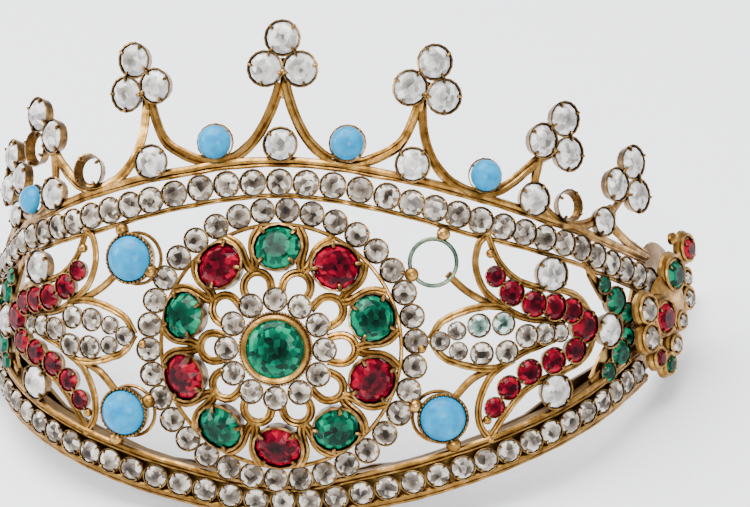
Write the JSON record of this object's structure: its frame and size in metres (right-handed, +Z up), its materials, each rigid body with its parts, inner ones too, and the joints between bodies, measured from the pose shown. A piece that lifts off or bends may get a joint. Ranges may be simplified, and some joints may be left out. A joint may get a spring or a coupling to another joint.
{
  "type": "tiara",
  "caption": "Open tiara of gilt brass wire on a curved head band, with a round pierced medallion, rows, leaves, crescents and spires of paste stones, and blue cabochons.",
  "frame": {"origin": "middle of the bounding box, on the surface that the tiara stands on", "axes": "+X to the right as seen from in front, +Y from the front to the open back, +Z up"},
  "size_m": [0.1456, 0.0885, 0.0858],
  "materials": {
    "gilt_brass": "gilt, worn brown in its recesses",
    "clear_paste": "cut and foiled",
    "red_paste": "cut and foiled",
    "green_paste": "cut and foiled",
    "blue_glass": "opaque, domed and polished"
  },
  "bodies": {
    "root": {"apex_clear_left": "clear_paste", "apex_clear_right": "clear_paste", "base_row_left": "clear_paste", "base_row_right": "clear_paste", "centre_green": "green_paste", "corner_low_left": "clear_paste", "corner_low_right": "clear_paste", "corner_top_left": "clear_paste", "corner_top_right": "clear_paste", "crescent_stones_left": "red_paste", "crescent_stones_right": "red_paste", "frame": "gilt_brass", "head_band": "gilt_brass", "inner_ring_stones": "clear_paste", "leaf_stones_left": "clear_paste", "leaf_stones_right": "clear_paste", "medallion_fret": "gilt_brass", "medallion_green_1": "green_paste", "medallion_green_2": "green_paste", "medallion_green_3": "green_paste", "medallion_green_4": "green_paste", "medallion_green_5": "green_paste", "medallion_red_1": "red_paste", "medallion_red_2": "red_paste", "medallion_red_3": "red_paste", "medallion_red_4": "red_paste", "medallion_red_5": "red_paste", "medallion_ring_stones": "clear_paste", "rosette_left": "gilt_brass", "rosette_right": "gilt_brass", "scallop_1_left": "blue_glass", "scallop_1_right": "blue_glass", "scallop_2_right": "blue_glass", "scallop_3_left": "blue_glass", "spire_0": "clear_paste", "spire_1_left": "clear_paste", "spire_1_right": "clear_paste", "spire_2_left": "clear_paste", "spire_2_right": "clear_paste", "spire_3_left": "clear_paste", "spire_3_right": "clear_paste", "turquoise_low_left": "blue_glass", "turquoise_low_right": "blue_glass", "turquoise_top_left": "blue_glass", "under_spire_0": "clear_paste", "under_spire_1_left": "clear_paste", "under_spire_1_right": "clear_paste", "under_spire_2_left": "clear_paste", "under_spire_2_right": "clear_paste", "under_spire_3_left": "clear_paste", "under_spire_3_right": "clear_paste", "upper_row_left": "clear_paste", "upper_row_right": "clear_paste"}
  },
  "joints": []
}
